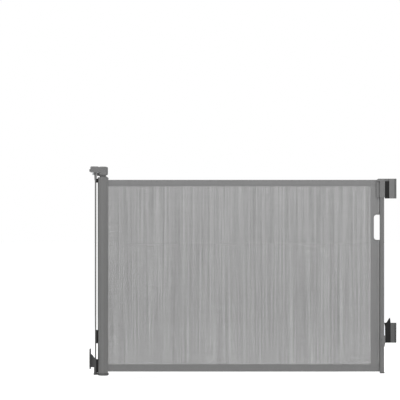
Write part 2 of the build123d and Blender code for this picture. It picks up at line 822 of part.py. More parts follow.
with BuildPart() as keder_rod:
    with BuildSketch(Plane.XY.offset(mesh_bottom)):
        with Locations((keder_x, mesh_y)):
            Circle(keder_radius)
    extrude(amount=bar_top - mesh_bottom)
finish(keder_rod.part, "keder_rod")

with BuildPart() as bar_bottom_cap:
    with BuildSketch(Plane.XY.offset(bar_bottom - 3.5)):
        with Locations((bar_x + 1.0, mesh_y)):
            RectangleRounded(bar_width + 3.4, bar_depth + 2.4, 5.5)
    extrude(amount=3.5)
    chamfer(bar_bottom_cap.edges().group_by(Axis.Z)[0], 1.2)
    with BuildSketch(Plane.XY.offset(bar_bottom)):
        with Locations((bar_x + 3.4, mesh_y)):
            RectangleRounded(7.6, bar_depth - 3.8, 2.5)
    extrude(amount=14.0)
finish(bar_bottom_cap.part, "bar_bottom_cap")

with BuildPart() as upper_hook_cap:
    with BuildSketch(Plane.XZ.offset(-mesh_y)):
        Polygon(
            (cap_left, cap_bottom + 3.0),
            (cap_left + 3.0, cap_bottom),
            (cap_right - 2.0, cap_bottom),
            (cap_right, cap_bottom + 3.0),
            (cap_right, cap_top),
            (cap_left + 9.5, cap_top),
            (cap_left, cap_top - 6.5),
            align=None,
        )
    extrude(amount=cap_depth / 2, both=True)
    fillet(upper_hook_cap.edges().filter_by(Axis.Z), 2.5)
    # below its lid the flange that grips the end band is set back from both faces
    for side in (-1, 1):
        with BuildSketch(Plane.XZ.offset(-mesh_y - side * cap_depth / 2)):
            with Locations((cap_left - 1.0, cap_bottom - 1.0)):
                Rectangle(bar_left - cap_left, 73.0, align=(Align.MIN, Align.MIN))
        extrude(amount=side * flange_setback, mode=Mode.SUBTRACT)
    # the shallow panels on both faces
    for side in (-1, 1):
        with BuildSketch(Plane.XZ.offset(-mesh_y - side * cap_depth / 2)):
            with Locations((bar_x, cap_bottom + 48.5)):
                RectangleRounded(12.5, 42.0, 2.0)
        extrude(amount=panel_depth, both=True, mode=Mode.SUBTRACT)
    # the arm and its prong, which drops behind the lip of the upper catch
    with BuildSketch(Plane.XZ.offset(-mesh_y)):
        Polygon(
            (cap_right - 1.0, upper_arm_under),
            (upper_prong_x, upper_arm_under),
            (upper_prong_x, upper_arm_under - lift),
            (cap_right + 14.0, upper_arm_under - lift),
            (cap_right + 15.0, upper_arm_under - lift + 1.0),
            (cap_right + 15.0, cap_top - 1.0),
            (cap_right + 14.0, cap_top),
            (cap_right - 1.0, cap_top),
            align=None,
        )
    extrude(amount=arm_half_width, both=True)
    with BuildSketch(Plane.XY.offset(cap_bottom)):
        bar_outline(0.0)
    extrude(amount=bar_top - cap_bottom, mode=Mode.SUBTRACT)
    # the slit that the end band stands in, open upwards for the whole of the lift
    with BuildSketch(Plane.XY.offset(cap_bottom)):
        with Locations(((cap_left + bar_left) / 2, mesh_y)):
            Rectangle(bar_left - cap_left + 1.0, hem_thickness + 0.8)
    extrude(amount=cap_top - cap_bottom, mode=Mode.SUBTRACT)
finish(upper_hook_cap.part, "upper_hook_cap")

with BuildPart() as lower_hook:
    with BuildSketch(Plane.XZ.offset(-mesh_y)):
        Polygon(
            (bar_left + 1.2, lower_hook_top - 2.5),
            (bar_left + 5.0, lower_hook_top),
            (cap_right + 0.8, lower_arm_top + 1.5),
            (cap_right + 0.8, lower_hook_bottom + 18.0),
            (bar_right + 0.8, lower_hook_bottom + 2.0),
            (bar_left + 5.0, lower_hook_bottom),
            (bar_left + 1.2, lower_hook_bottom + 13.0),
            align=None,
        )
    extrude(amount=cap_depth / 2 + 0.5, both=True)
    # the arm and its prong, which drops behind the lip of the lower catch
    with BuildSketch(Plane.XZ.offset(-mesh_y)):
        Polygon(
            (cap_right, lower_arm_under),
            (lower_prong_x, lower_arm_under),
            (lower_prong_x, lower_arm_under - lift),
            (cap_right + 16.0, lower_arm_under - lift),
            (cap_right + 17.0, lower_arm_under - lift + 1.0),
            (cap_right + 17.0, lower_arm_top - 1.0),
            (cap_right + 16.0, lower_arm_top),
            (cap_right, lower_arm_top),
            align=None,
        )
    extrude(amount=arm_half_width, both=True)
    with BuildSketch(Plane.XY.offset(lower_hook_bottom - 5.0)):
        bar_outline(0.0)
    extrude(amount=lower_hook_top - lower_hook_bottom + 10.0, mode=Mode.SUBTRACT)
    for side in (-1, 1):
        with BuildSketch(Plane.XZ.offset(-mesh_y - side * (cap_depth / 2 + 0.5))):
            with Locations(*hook_screw_places):
                Circle(3.4)
        extrude(amount=1.2, both=True, mode=Mode.SUBTRACT)
finish(lower_hook.part, "lower_hook")

hook_screw_seat = cap_depth / 2 + 0.5 - 1.2
with BuildPart() as lower_hook_screws:
    for side in (-1, 1):
        with BuildSketch(Plane.XZ.offset(-mesh_y - side * hook_screw_seat)):
            with Locations(*hook_screw_places):
                screw_head(3.2)
        extrude(amount=-side * 0.9)
finish(lower_hook_screws.part, "lower_hook_screws")

# ---------------------------------------------------------------- catches

upper_lip_top = upper_arm_under - lift - 0.5
with BuildPart() as upper_catch_pocket:
    with BuildSketch(Plane.XZ.offset(-mesh_y)):
        with Locations((upper_pocket_left, upper_catch_bottom)):
            Rectangle(
                upper_pocket_right - upper_pocket_left,
                upper_pocket_top - upper_catch_bottom,
                align=(Align.MIN, Align.MIN),
            )
    extrude(amount=pocket_half_width, both=True)
    fillet(upper_catch_pocket.edges().filter_by(Axis.Z).group_by(Axis.X)[0], 1.5)
    with BuildSketch(Plane.XZ.offset(-mesh_y)):
        Polygon(
            (upper_pocket_left - 1.0, upper_lip_top),
            (upper_pocket_left + upper_lip, upper_lip_top),
            (upper_pocket_left + upper_lip, upper_pocket_floor),
            (upper_pocket_right - 2.2, upper_pocket_floor),
            (upper_pocket_right - 2.2, upper_catch_top),
            (upper_pocket_left - 1.0, upper_catch_top),
            align=None,
        )
    extrude(amount=pocket_half_width - pocket_wall, both=True, mode=Mode.SUBTRACT)
    # the tongue that reaches through the shell to the wall plate
    with BuildSketch(Plane.YZ.offset(upper_pocket_right)):
        with Locations((mesh_y, (upper_catch_bottom + upper_catch_top) / 2)):
            Rectangle(tongue_width, tongue_height)
            with GridLocations(0, screw_spacing, 1, 2):
                Circle(tongue_hole_radius, mode=Mode.SUBTRACT)
    extrude(amount=wall_right - plate_thickness - upper_pocket_right)
    # grip ribs on the lip face
    with BuildSketch(Plane.XZ.offset(-mesh_y + pocket_half_width)):
        with Locations(((upper_pocket_left + upper_pocket_right) / 2 + 1.0, rib_middle)):
            with GridLocations(0, rib_spacing, 1, 5):
                Rectangle(9.0, 2.4)
    extrude(amount=0.5, both=True, mode=Mode.SUBTRACT)
finish(upper_catch_pocket.part, "upper_catch_pocket")

lower_lip_top = lower_arm_under - lift - 0.5
with BuildPart() as lower_catch_pocket:
    # both side walls rise in a pointed ear that steers the hook down between them
    with BuildSketch(Plane.XZ.offset(-mesh_y)):
        Polygon(
            (lower_pocket_left, lower_catch_bottom),
            (lower_pocket_right, lower_catch_bottom),
            (lower_pocket_right, ear_top - 13.5),
            (lower_pocket_right - 2.2, ear_top),
            (lower_pocket_left + 5.5, lower_catch_top),
            (lower_pocket_left - ear_overhang, lower_catch_top),
            (lower_pocket_left - 0.4, lower_catch_top - 19.0),
            align=None,
        )
    extrude(amount=pocket_half_width, both=True)
    with BuildSketch(Plane.XZ.offset(-mesh_y)):
        Polygon(
            (lower_pocket_left - 5.0, lower_lip_top),
            (lower_pocket_left + lower_lip, lower_lip_top),
            (lower_pocket_left + lower_lip, lower_pocket_floor),
            (lower_pocket_right - 3.0, lower_pocket_floor),
            (lower_pocket_right - 3.0, lower_catch_top - 5.0),
            (lower_pocket_right + 1.0, lower_catch_top + 1.0),
            (lower_pocket_right + 1.0, ear_top + 6.5),
            (lower_pocket_left - 5.0, ear_top + 6.5),
            align=None,
        )
    extrude(amount=pocket_half_width - pocket_wall, both=True, mode=Mode.SUBTRACT)
    # the tongue that reaches through the shell to the wall plate
    with BuildSketch(Plane.YZ.offset(lower_pocket_right)):
        with Locations((mesh_y, (lower_catch_bottom + lower_catch_top) / 2)):
            Rectangle(tongue_width, tongue_height)
            with GridLocations(0, screw_spacing, 1, 2):
                Circle(tongue_hole_radius, mode=Mode.SUBTRACT)
    extrude(amount=wall_right - plate_thickness - lower_pocket_right)
    # the raised oval rim on the outside of each wall
    for side in (-1, 1):
        with BuildSketch(Plane.XZ.offset(-mesh_y - side * pocket_half_width)):
            with Locations(((lower_pocket_left + lower_pocket_right) / 2 - 2.5, lower_catch_top - 47.0)):
                SlotOverall(44.0, 14.0, rotation=90.0)
                SlotOverall(38.0, 8.5, rotation=90.0, mode=Mode.SUBTRACT)
        extrude(amount=panel_depth, both=True)
finish(lower_catch_pocket.part, "lower_catch_pocket")

catches = {
    "upper": (upper_pocket_right, upper_catch_bottom, upper_catch_top),
    "lower": (lower_pocket_right, lower_catch_bottom, lower_catch_top),
}
shell_right = wall_right - plate_thickness - plate_rim
shell_lip = 2.2
for level, (shell_left, low, high) in catches.items():
    middle = (low + high) / 2
    with BuildPart() as catch_plate:
        with BuildSketch(Plane.YZ.offset(shell_right)):
            with Locations((mesh_y, middle)):
                RectangleRounded(2 * catch_half_width, high - low, 3.0)
                RectangleRounded(2 * catch_half_width - 4.4, high - low - 4.4, 1.0, mode=Mode.SUBTRACT)
        extrude(amount=plate_rim)
        with BuildSketch(Plane.YZ.offset(wall_right - plate_thickness)):
            with Locations((mesh_y, middle)):
                RectangleRounded(2 * catch_half_width, high - low, 3.0)
                with GridLocations(0, catch_hole_spacing, 1, 2):
                    Circle(wall_hole_radius, mode=Mode.SUBTRACT)
                with GridLocations(0, screw_spacing, 1, 2):
                    Circle(tongue_hole_radius, mode=Mode.SUBTRACT)
        extrude(amount=plate_thickness)
        with BuildSketch(Plane.YZ.offset(wall_right - 2.0)):
            with Locations((mesh_y, middle)):
                with GridLocations(0, screw_spacing, 1, 2):
                    Circle(3.4)
        extrude(amount=2.0, mode=Mode.SUBTRACT)
    finish(catch_plate.part, f"{level}_catch_wall_plate")

    with BuildPart() as catch_shell:
        with BuildSketch(Plane.YZ.offset(shell_left)):
            with Locations((mesh_y, middle)):
                RectangleRounded(2 * catch_half_width, high - low, 3.0)
        extrude(amount=shell_right - shell_left)
        fillet(catch_shell.faces().sort_by(Axis.X)[0].edges(), 1.2)
        with BuildSketch(Plane.YZ.offset(shell_left + 2.0)):
            with Locations((mesh_y, middle)):
                RectangleRounded(2 * catch_half_width - 4.4, high - low - 4.4, 1.0)
        extrude(amount=opening, mode=Mode.SUBTRACT)
        with BuildSketch(Plane.YZ.offset(shell_left)):
            with Locations((mesh_y, middle)):
                Rectangle(tongue_width, tongue_height)
        extrude(amount=2.0, mode=Mode.SUBTRACT)
        # a lip over the pocket's back wall, which closes the gap behind the hook's arm
        if level == "upper":
            with BuildSketch(Plane.YZ.offset(shell_left - shell_lip)):
                with Locations((mesh_y, (upper_pocket_top + 0.5 + high) / 2)):
                    Rectangle(2 * pocket_half_width, high - upper_pocket_top - 0.5)
            extrude(amount=shell_lip + 1.5)
        # the shallow panels on both faces
        for side in (-1, 1):
            with BuildSketch(Plane.XZ.offset(-mesh_y - side * catch_half_width)):
                with Locations(((shell_left + shell_right) / 2 + 1.5, middle)):
                    RectangleRounded(shell_right - shell_left - 8.0, 62.0, 2.0)
            extrude(amount=panel_depth, both=True, mode=Mode.SUBTRACT)
    finish(catch_shell.part, f"{level}_catch_shell")

    with BuildPart() as catch_screws:
        with BuildSketch(Plane.YZ.offset(wall_right - 2.0)):
            with Locations((mesh_y, middle)):
                with GridLocations(0, screw_spacing, 1, 2):
                    screw_head(3.2)
        extrude(amount=1.6)
        with BuildSketch(Plane.YZ.offset(wall_right - 14.0)):
            with Locations((mesh_y, middle)):
                with GridLocations(0, screw_spacing, 1, 2):
                    Circle(tongue_hole_radius)
        extrude(amount=12.4)
    finish(catch_screws.part, f"{level}_catch_screws")

os.makedirs("parts", exist_ok=True)
for piece in pieces:
    export_step(piece, f"parts/{piece.label}.step")
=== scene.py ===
from math import cos, pi, radians, sin, sqrt

import bpy
import numpy as np
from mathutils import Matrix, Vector


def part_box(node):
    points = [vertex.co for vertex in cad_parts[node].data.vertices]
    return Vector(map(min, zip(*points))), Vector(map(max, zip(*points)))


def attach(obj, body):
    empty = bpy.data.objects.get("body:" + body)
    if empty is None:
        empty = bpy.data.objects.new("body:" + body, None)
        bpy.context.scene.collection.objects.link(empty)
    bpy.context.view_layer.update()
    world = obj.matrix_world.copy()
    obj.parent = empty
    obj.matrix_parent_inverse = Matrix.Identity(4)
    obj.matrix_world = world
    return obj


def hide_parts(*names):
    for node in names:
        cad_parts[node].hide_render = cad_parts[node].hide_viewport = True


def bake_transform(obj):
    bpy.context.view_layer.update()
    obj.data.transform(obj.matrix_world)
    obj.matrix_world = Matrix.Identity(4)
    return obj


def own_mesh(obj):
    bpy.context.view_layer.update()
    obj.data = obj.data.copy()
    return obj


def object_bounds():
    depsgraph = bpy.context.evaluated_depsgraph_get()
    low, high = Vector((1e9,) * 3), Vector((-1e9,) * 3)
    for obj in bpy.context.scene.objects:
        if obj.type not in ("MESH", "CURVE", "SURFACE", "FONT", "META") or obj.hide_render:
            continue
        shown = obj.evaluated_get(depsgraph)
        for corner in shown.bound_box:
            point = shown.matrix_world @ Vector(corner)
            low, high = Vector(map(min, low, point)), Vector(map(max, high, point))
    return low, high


# The looks of a retractable mesh safety gate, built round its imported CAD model. X runs from the
# housing's wall to the catches' wall, -Y faces the room and Z is up. Everything is in metres.

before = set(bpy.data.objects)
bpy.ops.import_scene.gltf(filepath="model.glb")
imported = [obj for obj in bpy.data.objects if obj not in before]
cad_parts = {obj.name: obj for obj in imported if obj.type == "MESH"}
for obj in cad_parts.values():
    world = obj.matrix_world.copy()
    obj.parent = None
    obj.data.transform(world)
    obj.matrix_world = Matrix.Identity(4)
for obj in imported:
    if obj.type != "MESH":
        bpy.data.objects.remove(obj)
cad_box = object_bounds()

MM = 0.001

# ---------------------------------------------------------------- places, from the frame

mesh_low, mesh_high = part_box("mesh_panel")
band_low, band_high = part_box("end_band")
top_hem_low, top_hem_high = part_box("top_hem")
bottom_hem_low, bottom_hem_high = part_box("bottom_hem")
roll_low, roll_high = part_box("mesh_roll")
tube_low, tube_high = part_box("housing_tube")
bar_low, bar_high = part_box("pull_bar")

mesh_y = (mesh_low.y + mesh_high.y) / 2
roller_x = (roll_low.x + roll_high.x) / 2
roller_y = (roll_low.y + roll_high.y) / 2

# ---------------------------------------------------------------- camera, light and floor

CAMERA_DISTANCE = 8.0
VIEW_WIDTH = 1.752
SENSOR = 36.0
FLOOR_GAP = 20 * MM
ROOM_LIGHT = 0.55


def make_camera():
    """A long lens looking straight along +Y, square to the mesh."""
    camera = bpy.data.objects.new("camera", bpy.data.cameras.new("camera"))
    bpy.context.scene.collection.objects.link(camera)
    camera.data.sensor_width = SENSOR
    camera.data.lens = SENSOR * CAMERA_DISTANCE / VIEW_WIDTH
    camera.location = (-0.1875, mesh_y - CAMERA_DISTANCE, 0.769)
    camera.rotation_euler = (radians(90), 0, 0)
    camera.data.clip_end = 60.0
    bpy.context.scene.camera = camera


def area_light(name, place, aim, width, height, watts):
    """A soft box that shines from place towards aim."""
    light = bpy.data.lights.new(name, "AREA")
    light.shape = "RECTANGLE"
    light.size = width
    light.size_y = height
    light.energy = watts
    lamp = bpy.data.objects.new(name, light)
    bpy.context.scene.collection.objects.link(lamp)
    lamp.location = place
    lamp.rotation_euler = (Vector(aim) - Vector(place)).to_track_quat("-Z", "Y").to_euler()


def make_light():
    """A white room that gives less light than it shows, and soft boxes above and at each side."""
    world = bpy.data.worlds.new("studio")
    world.use_nodes = True
    tree = world.node_tree
    seen = tree.nodes.new("ShaderNodeLightPath").outputs["Is Camera Ray"]
    strength = tree.nodes.new("ShaderNodeMapRange")
    tree.links.new(seen, strength.inputs["Value"])
    strength.inputs["To Min"].default_value = ROOM_LIGHT
    tree.links.new(strength.outputs["Result"], tree.nodes["Background"].inputs["Strength"])
    tree.nodes["Background"].inputs["Color"].default_value = (1, 1, 1, 1)
    bpy.context.scene.world = world
    bpy.context.scene.view_settings.view_transform = "Standard"
    area_light("overhead", (0, -0.9, 1.95), (0, 0, 0.75), 2.6, 0.4, 20)
    area_light("left_box", (-2.3, -1.5, 1.35), (-0.6, 0, 0.6), 0.28, 1.3, 18)
    area_light("right_box", (1.5, -1.8, 1.35), (-0.1, 0, 0.6), 0.28, 1.3, 18)
    area_light("back", (0.6, 2.8, 2.2), (0, 0, 0.5), 1.6, 1.2, 15)


def make_floor():
    """A pale floor just under the gate."""
    size = 25.0
    mesh = bpy.data.meshes.new("floor")
    corners = [(-size, -size, 0), (size, -size, 0), (size, size, 0), (-size, size, 0)]
    mesh.from_pydata(corners, [], [(0, 1, 2, 3)])
    floor = bpy.data.objects.new("floor", mesh)
    bpy.context.scene.collection.objects.link(floor)
    floor.location.z = cad_box[0].z - FLOOR_GAP
    paint = Paint("floor_white", (0.95, 0.95, 0.95), 0.9)
    paint.surface.inputs["Emission Color"].default_value = (1, 1, 1, 1)
    paint.surface.inputs["Emission Strength"].default_value = 0.5
    mesh.materials.append(paint.material)


# ---------------------------------------------------------------- materials


class Paint:
    """A material with one surface shader, and a short call for each kind of node that it uses."""

    def __init__(self, name, colour, roughness, metallic=0.0):
        self.material = bpy.data.materials.new(name)
        self.material.use_nodes = True
        self.tree = self.material.node_tree
        self.surface = self.tree.nodes["Principled BSDF"]
        self.surface.inputs["Base Color"].default_value = (*colour, 1)
        self.surface.inputs["Roughness"].default_value = roughness
        self.surface.inputs["Metallic"].default_value = metallic
        self.colour = (*colour, 1)
        self.place = self.tree.nodes.new("ShaderNodeTexCoord").outputs["Object"]
        self.heights = []

    def add(self, kind, inputs, **settings):
        """A new node of this kind with its settings and inputs, each a value or another's output."""
        node = self.tree.nodes.new("ShaderNode" + kind)
        for key, value in settings.items():
            setattr(node, key, value)
        for key, value in inputs.items():
            self.join(value, node.inputs[key])
        return node

    def join(self, value, socket):
        """Links an output to a socket, or sets the socket's own value."""
        if isinstance(value, bpy.types.NodeSocket):
            self.tree.links.new(value, socket)
        else:
            socket.default_value = value

    def math(self, operation, first, second=0.0, clamp=False):
        """A sum, product or other operation on two numbers."""
        node = self.add("Math", {0: first, 1: second}, operation=operation, use_clamp=clamp)
        return node.outputs[0]

    def spread(self, value, low, high, to_low=0.0, to_high=1.0):
        """The value, taken from one range to another."""
        inputs = {"Value": value, "From Min": low, "From Max": high, "To Min": to_low, "To Max": to_high}
        return self.add("MapRange", inputs, clamp=True).outputs["Result"]

    def noise(self, size, stretch=(1, 1, 1), detail=3.0, roughness=0.5):
        """Noise whose features are about size metres across, stretched along each axis."""
        scaled = self.add("Mapping", {"Vector": self.place, "Scale": [1 / s for s in stretch]})
        inputs = {
            "Vector": scaled.outputs["Vector"],
            "Scale": 1 / size,
            "Detail": detail,
            "Roughness": roughness,
        }
        return self.add("TexNoise", inputs).outputs["Fac"]

    def mix(self, share, first, second):
        """The colour between two, at this share of the second."""
        node = self.add("Mix", {"Factor": share, 6: first, 7: second}, data_type="RGBA")
        return node.outputs[2]

    def shade(self, value, depth):
        """Varies the colour so far by depth up and down, as value goes from 0 to 1."""
        factor = self.spread(value, 0.0, 1.0, 1 - depth, 1 + depth)
        socket = self.surface.inputs["Base Color"]
        start = socket.links[0].from_socket if socket.links else self.colour
        scaled = self.add("VectorMath", {0: self.tint(start), "Scale": factor}, operation="SCALE")
        self.join(scaled.outputs["Vector"], socket)

    def tint(self, colour):
        """A colour as a vector, whether it is a value or an output."""
        return colour if isinstance(colour, bpy.types.NodeSocket) else colour[:3]

    def rub(self, width, lighter, amount):
        """Rubs the colour lighter along the edges, over this width, broken up by noise."""
        rounded = self.add("Bevel", {"Radius": width}, samples=4).outputs["Normal"]
        flat = self.add("NewGeometry", {}).outputs["Normal"]
        turn = self.add("VectorMath", {0: rounded, 1: flat}, operation="DOT_PRODUCT").outputs["Value"]
        edge = self.spread(turn, 0.995, 0.9, 0.0, amount)
        worn = self.math("MULTIPLY", edge, self.spread(self.noise(2.5 * MM), 0.4, 0.62))
        socket = self.surface.inputs["Base Color"]
        start = socket.links[0].from_socket if socket.links else self.colour
        self.join(self.mix(worn, start, (*lighter, 1)), socket)

    def rough(self, value, low, high):
        """Roughness from low to high, as value goes from 0 to 1."""
        self.join(self.spread(value, 0.0, 1.0, low, high), self.surface.inputs["Roughness"])

    def raise_by(self, height, depth):
        """Adds a bump of this depth, on top of any before it."""
        inputs = {"Height": height, "Distance": depth, "Strength": 1.0}
        if self.heights:
            inputs["Normal"] = self.heights[-1]
        self.heights.append(self.add("Bump", inputs).outputs["Normal"])
        self.join(self.heights[-1], self.surface.inputs["Normal"])


def powder_coat(name, colour):
    """Satin powder coat over an aluminium extrusion: fine orange peel and faint drawing lines."""
    paint = Paint(name, colour, 0.45)
    paint.shade(paint.noise(60 * MM, (1, 1, 4)), 0.07)
    paint.shade(paint.noise(0.7 * MM, detail=1.0), 0.05)
    paint.rub(0.6 * MM, [1.5 * c for c in colour], 0.5)
    paint.rough(paint.noise(25 * MM), 0.28, 0.44)
    paint.raise_by(paint.noise(1.1 * MM, detail=2.0), 0.05 * MM)
    paint.raise_by(paint.noise(1.6 * MM, (1, 1, 150)), 0.03 * MM)
    return paint.material


def moulded_plastic(name, colour, grain=0.06, low=0.45, high=0.62, gloss=0.5):
    """Injection-moulded plastic with a spark-eroded texture and edges that handling has polished."""
    paint = Paint(name, colour, 0.5)
    paint.surface.inputs["Specular IOR Level"].default_value = gloss
    paint.shade(paint.noise(18 * MM), 0.08)
    paint.shade(paint.noise(0.5 * MM, detail=1.0), 0.07)
    paint.rub(0.7 * MM, [1.45 * c + 0.01 for c in colour], 0.55)
    paint.rough(paint.noise(9 * MM), low, high)
    cells = paint.add("TexVoronoi", {"Vector": paint.place, "Scale": 1 / (0.8 * MM)})
    paint.raise_by(cells.outputs["Distance"], grain * MM)
    paint.raise_by(paint.noise(6 * MM), 0.06 * MM)
    return paint.material


def plated_steel(name, colour):
    """Plated steel with fine turning marks and dull patches."""
    paint = Paint(name, colour, 0.35, metallic=1.0)
    paint.shade(paint.noise(3 * MM), 0.18)
    paint.rough(paint.noise(1.5 * MM), 0.22, 0.48)
    paint.raise_by(paint.noise(0.3 * MM, (6, 6, 1)), 0.02 * MM)
    return paint.material


def natural_nylon(name):
    """Off-white nylon that lets a little light in."""
    paint = Paint(name, (0.72, 0.71, 0.66), 0.5)
    paint.surface.inputs["Subsurface Weight"].default_value = 0.15
    paint.surface.inputs["Subsurface Scale"].default_value = 0.002
    paint.shade(paint.noise(7 * MM), 0.06)
    paint.rough(paint.noise(4 * MM), 0.42, 0.6)
    paint.raise_by(paint.noise(0.9 * MM), 0.03 * MM)
    return paint.material


def mill_aluminium(name):
    """Bare extruded aluminium with drawing lines along its length."""
    paint = Paint(name, (0.72, 0.73, 0.74), 0.34, metallic=1.0)
    lines = paint.noise(0.5 * MM, (1, 1, 200))
    paint.shade(lines, 0.12)
    paint.rough(lines, 0.26, 0.46)
    paint.raise_by(lines, 0.02 * MM)
    return paint.material


def woven_mesh(name, colour, pitch, cover, openness):
    """Coated yarns in plain weave, with open windows between them, uneven yarns in bands and painted shade
    where the weave dips.
    """
    paint = Paint(name, colour, 0.62)
    paint.surface.inputs["Sheen Weight"].default_value = 0.15
    parts = paint.add("SeparateXYZ", {"Vector": paint.place})
    across = paint.math("MULTIPLY", parts.outputs["X"], pi / pitch)
    along = paint.math("MULTIPLY", parts.outputs["Z"], pi / pitch)
    warp = paint.math("COSINE", across)
    weft = paint.math("COSINE", along)
    warp_size = paint.math("ABSOLUTE", warp)
    weft_size = paint.math("ABSOLUTE", weft)
    over = paint.math("MULTIPLY", warp, weft)
    streaks = paint.noise(4.5 * MM, (1, 1, 130), detail=1.0)
    picks = paint.noise(5 * MM, (90, 1, 1), detail=1.0)
    patches = paint.noise(90 * MM)
    yarn = paint.math("MAXIMUM", warp_size, weft_size)
    edge = cos(pi * cover / 2)
    gate = paint.spread(streaks, 0.3, 0.7, edge - openness, edge + openness)
    solid = paint.math("GREATER_THAN", yarn, gate)
    paint.join(solid, paint.surface.inputs["Alpha"])
    top = paint.math("MULTIPLY_ADD", over, 0.3)
    top.node.inputs[2].default_value = 0.7
    crown = paint.math("MULTIPLY", warp_size, top)
    under = paint.math("MULTIPLY_ADD", over, -0.3)
    under.node.inputs[2].default_value = 0.7
    dip = paint.math("MULTIPLY", weft_size, under)
    height = paint.math("MAXIMUM", crown, dip)
    # Darker where the yarns dip under each other: painted shade in the weave.
    paint.shade(paint.spread(height, 0.4, 1.0), 0.16)
    paint.shade(paint.spread(streaks, 0.32, 0.68), 0.22)
    paint.shade(paint.spread(picks, 0.32, 0.68), 0.10)
    paint.shade(patches, 0.03)
    paint.rough(paint.noise(2 * MM), 0.55, 0.72)
    paint.raise_by(height, 0.16 * MM)
    return paint.material


def webbing(name, colour, pitch, depth=0.14):
    """Close woven polyester tape, whose fine ribs run up and down, with painted shade between the ribs."""
    paint = Paint(name, colour, 0.78)
    paint.surface.inputs["Sheen Weight"].default_value = 0.25
    parts = paint.add("SeparateXYZ", {"Vector": paint.place})
    across = paint.math("SINE", paint.math("MULTIPLY", parts.outputs["X"], 2 * pi / pitch))
    along = paint.math("SINE", paint.math("MULTIPLY", parts.outputs["Z"], pi / pitch))
    ribs = paint.math("MULTIPLY", across, along)
    height = paint.spread(ribs, -1.0, 1.0)
    # Darker in the grooves between the ribs, by depth: painted shade.
    paint.shade(height, depth)
    paint.shade(paint.noise(14 * MM, (1, 1, 3)), 0.08)
    paint.shade(paint.noise(1.2 * MM), 0.07)
    paint.rough(paint.noise(3 * MM), 0.7, 0.88)
    paint.raise_by(height, 0.12 * MM)
    paint.raise_by(paint.noise(5 * MM), 0.25 * MM)
    return paint.material


def thread(name, colour):
    """Twisted sewing thread."""
    paint = Paint(name, colour, 0.6)
    paint.surface.inputs["Sheen Weight"].default_value = 0.3
    twist = paint.noise(0.35 * MM, (1, 1, 1), detail=1.0)
    paint.shade(twist, 0.2)
    paint.rough(paint.noise(1 * MM), 0.5, 0.7)
    paint.raise_by(twist, 0.08 * MM)
    return paint.material


COAT = powder_coat("grey_powder_coat", (0.100, 0.100, 0.099))
BAR_COAT = powder_coat("bar_powder_coat", (0.094, 0.094, 0.094))
GREY = moulded_plastic("grey_plastic", (0.094, 0.094, 0.094))
# The next two plastics are some parts' own tone and, for the lower catch, a darker copy of the upper
# catch's plastic: painted shade.
SLATE_AND_SHADED_GREY = moulded_plastic("slate_and_shaded_grey_plastic", (0.060, 0.060, 0.060), gloss=0.4)
DARK_AND_SHADED_SLATE = moulded_plastic("dark_plastic", (0.036, 0.036, 0.036), gloss=0.35)
BLACK = moulded_plastic("black_plastic", (0.008, 0.008, 0.008), grain=0.04, low=0.5, high=0.65, gloss=0.15)
STEEL = plated_steel("zinc_steel", (0.55, 0.56, 0.57))
BLACK_STEEL = plated_steel("black_steel", (0.10, 0.10, 0.105))
NYLON = natural_nylon("natural_nylon")
ALUMINIUM = mill_aluminium("mill_aluminium")
MESH = woven_mesh("woven_mesh", (0.163, 0.163, 0.163), 1.6 * MM, 0.70, 0.03)
HEM = webbing("hem_tape", (0.118, 0.118, 0.118), 1.1 * MM)
BAND = webbing("band_cloth", (0.125, 0.125, 0.125), 1.6 * MM)
EDGE = webbing("edge_tape", (0.085, 0.085, 0.085), 1.1 * MM)
WELT = webbing("welt_cloth", (0.16, 0.16, 0.16), 1.3 * MM)
THREAD = thread("thread", (0.17, 0.17, 0.17))

CAD_FINISHES = [
    (COAT, ["housing_tube", "back_rail"]),
    (BAR_COAT, ["pull_bar"]),
    (GREY, [
        "top_end_cap", "lock_head_body", "lock_head_cover", "wall_screw_cover", "lock_knob",
        "release_button", "upper_hook_cap", "lower_hook", "upper_catch_shell",
    ]),
    # lower_catch_shell is a darker copy of the upper shell's grey, and lower_catch_wall_plate of the upper
    # plate's tone: painted shade.
    (SLATE_AND_SHADED_GREY, ["bottom_end_cap", "bar_bottom_cap", "upper_catch_wall_plate", "lower_catch_shell"]),
    (DARK_AND_SHADED_SLATE, ["rail_foot", "lower_wall_bracket", "lower_catch_wall_plate"]),
    (BLACK, ["top_spacer", "middle_spacer", "bottom_spacer", "upper_catch_pocket", "lower_catch_pocket"]),
    (STEEL, [
        "spring_shaft", "torsion_spring", "lock_head_screws", "rail_clamp_screw", "pawl_pin",
        "pawl_spring", "button_spring", "button_clip", "cam_screw", "spacer_screws",
        "upper_catch_screws", "lower_catch_screws",
    ]),
    (BLACK_STEEL, ["lower_hook_screws"]),
    (NYLON, [
        "slot_liners", "top_bushing", "spring_anchor", "roller_bottom_plug", "spring_drive_plug",
        "roller_top_plug", "ratchet_wheel", "lock_pawl", "lock_cam", "keder_rod",
    ]),
    (ALUMINIUM, ["roller_tube"]),
]


def finish_cad_nodes():
    """Gives every CAD node its finish."""
    for material, names in CAD_FINISHES:
        for name in names:
            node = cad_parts[name]
            node.data.materials.clear()
            node.data.materials.append(material)


# ---------------------------------------------------------------- mesh helpers


def make_piece(name, points, faces, material, slot):
    """A smooth-shaded mesh object from its points and faces."""
    mesh = bpy.data.meshes.new(name)
    mesh.from_pydata([tuple(p) for p in points], [], faces)
    mesh.validate()
    mesh.polygons.foreach_set("use_smooth", [True] * len(mesh.polygons))
    mesh.materials.append(material)
    piece = bpy.data.objects.new(name, mesh)
    bpy.context.scene.collection.objects.link(piece)
    return piece


def loft(rings, capped=True):
    """Points and faces of a closed skin over rings that all have the same number of points."""
    count = len(rings[0])
    points = [point for ring in rings for point in ring]
    faces = []
    for row in range(len(rings) - 1):
        for k in range(count):
            a, b = row * count + k, row * count + (k + 1) % count
            faces.append((a, b, b + count, a + count))
    if capped:
        last = (len(rings) - 1) * count
        faces.append(tuple(reversed(range(count))))
        faces.append(tuple(range(last, last + count)))
    return points, faces


